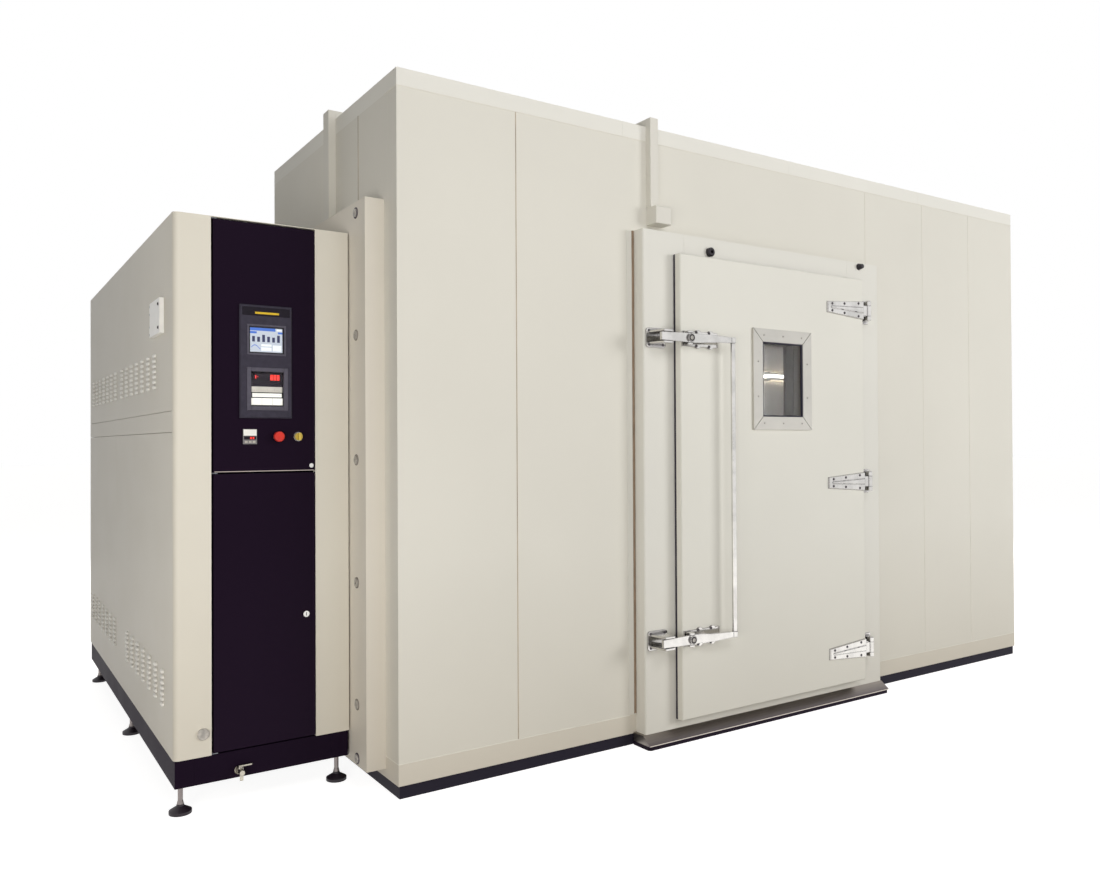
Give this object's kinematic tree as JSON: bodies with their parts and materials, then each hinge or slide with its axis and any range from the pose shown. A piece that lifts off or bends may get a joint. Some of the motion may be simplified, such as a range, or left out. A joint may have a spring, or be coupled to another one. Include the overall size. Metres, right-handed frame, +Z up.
{
  "type": "environmental test chamber",
  "caption": "Walk-in insulated test chamber with a windowed, latched door and a side-mounted conditioning machine that heats, cools and humidifies its air.",
  "frame": {"origin": "middle of the chamber's footprint, on the floor", "axes": "+X along the front wall, away from the machine and towards the door hinges' side; +Y from the door into the chamber; +Z up"},
  "size_m": [4.4523, 2.597, 2.53],
  "materials": {
    "chamber_panel": "painted sheet-steel skin over foam, satin",
    "chamber_floor_panel": "painted sheet-steel skin over foam, satin",
    "duct_panel": "painted sheet-steel skin over foam, satin",
    "door_panel": "painted sheet-steel skin over foam, satin",
    "frame_profile": "painted sheet over foam, satin",
    "machine_paint": "ivory powder coat, satin",
    "black_paint": "black, semi-gloss",
    "black_gloss": "black, high gloss",
    "stainless": "brushed",
    "hardware_chrome": "cast, chrome plated",
    "rubber_black": "matt",
    "plastic_black": "matt",
    "plastic_grey": "matt",
    "bezel_plastic": "fine texture, matt",
    "plastic_red": "gloss",
    "plastic_yellow": "gloss",
    "window_glass": "clear, polished",
    "screen_glass": "gloss",
    "coil_aluminium": "bright fins",
    "fan_aluminium": "cast, satin",
    "motor_paint": "grey enamel",
    "compressor_paint": "black enamel",
    "tank_plastic": "natural, translucent",
    "brass_fitting": "nickel-free, satin",
    "galvanised": "galvanised sheet",
    "lamp_glass": "frosted tube, gloss",
    "switchgear": "matt",
    "galvanised_slab": "galvanised skin over foam"
  },
  "bodies": {
    "chamber_and_machine": {"base_frame": "black_paint", "floor_panels": "chamber_floor_panel", "ceiling_panels": "chamber_panel", "front_wall": "chamber_panel", "back_wall": "chamber_panel", "right_wall": "chamber_panel", "left_wall": "chamber_panel", "door_frame": "frame_profile", "threshold_plate": "stainless", "threshold_skirt": "rubber_black", "hinge_brackets": "hardware_chrome", "latch_strikes": "hardware_chrome", "header_fittings": "rubber_black", "wiring_duct": "frame_profile", "duct_frame": "duct_panel", "duct_gasket": "rubber_black", "air_grilles": "stainless", "interior_lamp": "lamp_glass", "machine_base": "black_paint", "levelling_feet": "plastic_black", "machine_frame": "galvanised", "front_pillars": "machine_paint", "left_side_panels": "machine_paint", "right_side_panel": "machine_paint", "rear_panel": "machine_paint", "roof_panel": "machine_paint", "drain_cock": "brass_fitting", "panel_hinges": "stainless", "blanking_caps": "plastic_grey", "air_section": "galvanised_slab", "heater": "stainless", "fan_shrouds": "galvanised", "fan_motors": "motor_paint", "finned_coils": "coil_aluminium", "compressors": "compressor_paint", "water_tank": "tank_plastic", "electrical_box": "switchgear"},
    "door": {"door_leaf": "door_panel", "door_gasket": "rubber_black", "window_frames": "stainless", "window_panes": "window_glass", "hinge_straps": "hardware_chrome", "latch_bases": "hardware_chrome"},
    "latch": {"latch_handle": "hardware_chrome"},
    "controls": {"control_panel": "black_gloss", "control_bezel": "bezel_plastic", "touch_screen": "screen_glass", "recorder_body": "plastic_black", "overheat_protector": "plastic_grey", "switch_collars": "hardware_chrome"},
    "recorder_cover": {"recorder_door": "screen_glass"},
    "emergency_stop": {"e_stop_button": "plastic_red"},
    "selector": {"selector_knob": "plastic_yellow"},
    "control_panel_latch": {"panel_latch": "hardware_chrome"},
    "service_panel": {"service_door": "black_gloss"},
    "service_lock": {"key_lock": "hardware_chrome"},
    "drain_lever": {"drain_cock_handle": "brass_fitting"},
    "side_flap": {"connector_flap": "machine_paint"},
    "air_fan": {"circulation_fan": "fan_aluminium"},
    "rear_fan": {"condenser_fan": "fan_aluminium"}
  },
  "joints": [
    {"name": "door_hinge", "type": "hinge", "parent": "chamber_and_machine", "child": "door", "pos_m": [0.475, -0.818, 1.023], "axis": [0, 0, 1], "range_deg": [0, 110]},
    {"name": "latch_pivot", "type": "hinge", "parent": "door", "child": "latch", "pos_m": [-0.679, -0.844, 1.024], "axis": [0, 0, -1], "range_deg": [0, 22]},
    {"name": "control_panel_hinge", "type": "hinge", "parent": "chamber_and_machine", "child": "controls", "pos_m": [-2.42, -0.441, 1.54], "axis": [0, 0, -1], "range_deg": [0, 110]},
    {"name": "service_door_hinge", "type": "hinge", "parent": "chamber_and_machine", "child": "service_panel", "pos_m": [-2.42, -0.441, 0.65], "axis": [0, 0, -1], "range_deg": [0, 110]},
    {"name": "recorder_door_hinge", "type": "hinge", "parent": "controls", "child": "recorder_cover", "pos_m": [-2.317, -0.4585, 1.399], "axis": [0, 0, -1], "range_deg": [0, 90]},
    {"name": "emergency_stop_press", "type": "slide", "parent": "controls", "child": "emergency_stop", "axis": [0, 1, 0], "range_m": [0, 0.005], "stiffness_N_per_m": 800},
    {"name": "selector_turn", "type": "hinge", "parent": "controls", "child": "selector", "pos_m": [-2.145, -0.451, 1.237], "axis": [0, 1, 0], "range_deg": [0, 90]},
    {"name": "panel_latch_turn", "type": "hinge", "parent": "controls", "child": "control_panel_latch", "pos_m": [-2.099, -0.451, 1.136], "axis": [0, 1, 0], "range_deg": [0, 90]},
    {"name": "service_lock_turn", "type": "hinge", "parent": "service_panel", "child": "service_lock", "pos_m": [-2.118, -0.451, 0.618], "axis": [0, 1, 0], "range_deg": [0, 90]},
    {"name": "drain_lever_turn", "type": "hinge", "parent": "chamber_and_machine", "child": "drain_lever", "pos_m": [-2.347, -0.467, 0.14], "axis": [0, 0, -1], "range_deg": [0, 90]},
    {"name": "side_flap_hinge", "type": "hinge", "parent": "chamber_and_machine", "child": "side_flap", "pos_m": [-2.5643, -0.105, 1.65], "axis": [0, 0, -1], "range_deg": [0, 100]},
    {"name": "circulation_fan_spin", "type": "hinge", "parent": "chamber_and_machine", "child": "air_fan", "pos_m": [-2.12, 0.22, 1.7], "axis": [1, 0, 0], "continuous": true},
    {"name": "condenser_fan_spin", "type": "hinge", "parent": "chamber_and_machine", "child": "rear_fan", "pos_m": [-2.2492, 1.556, 0.73], "axis": [0, 1, 0], "continuous": true}
  ]
}
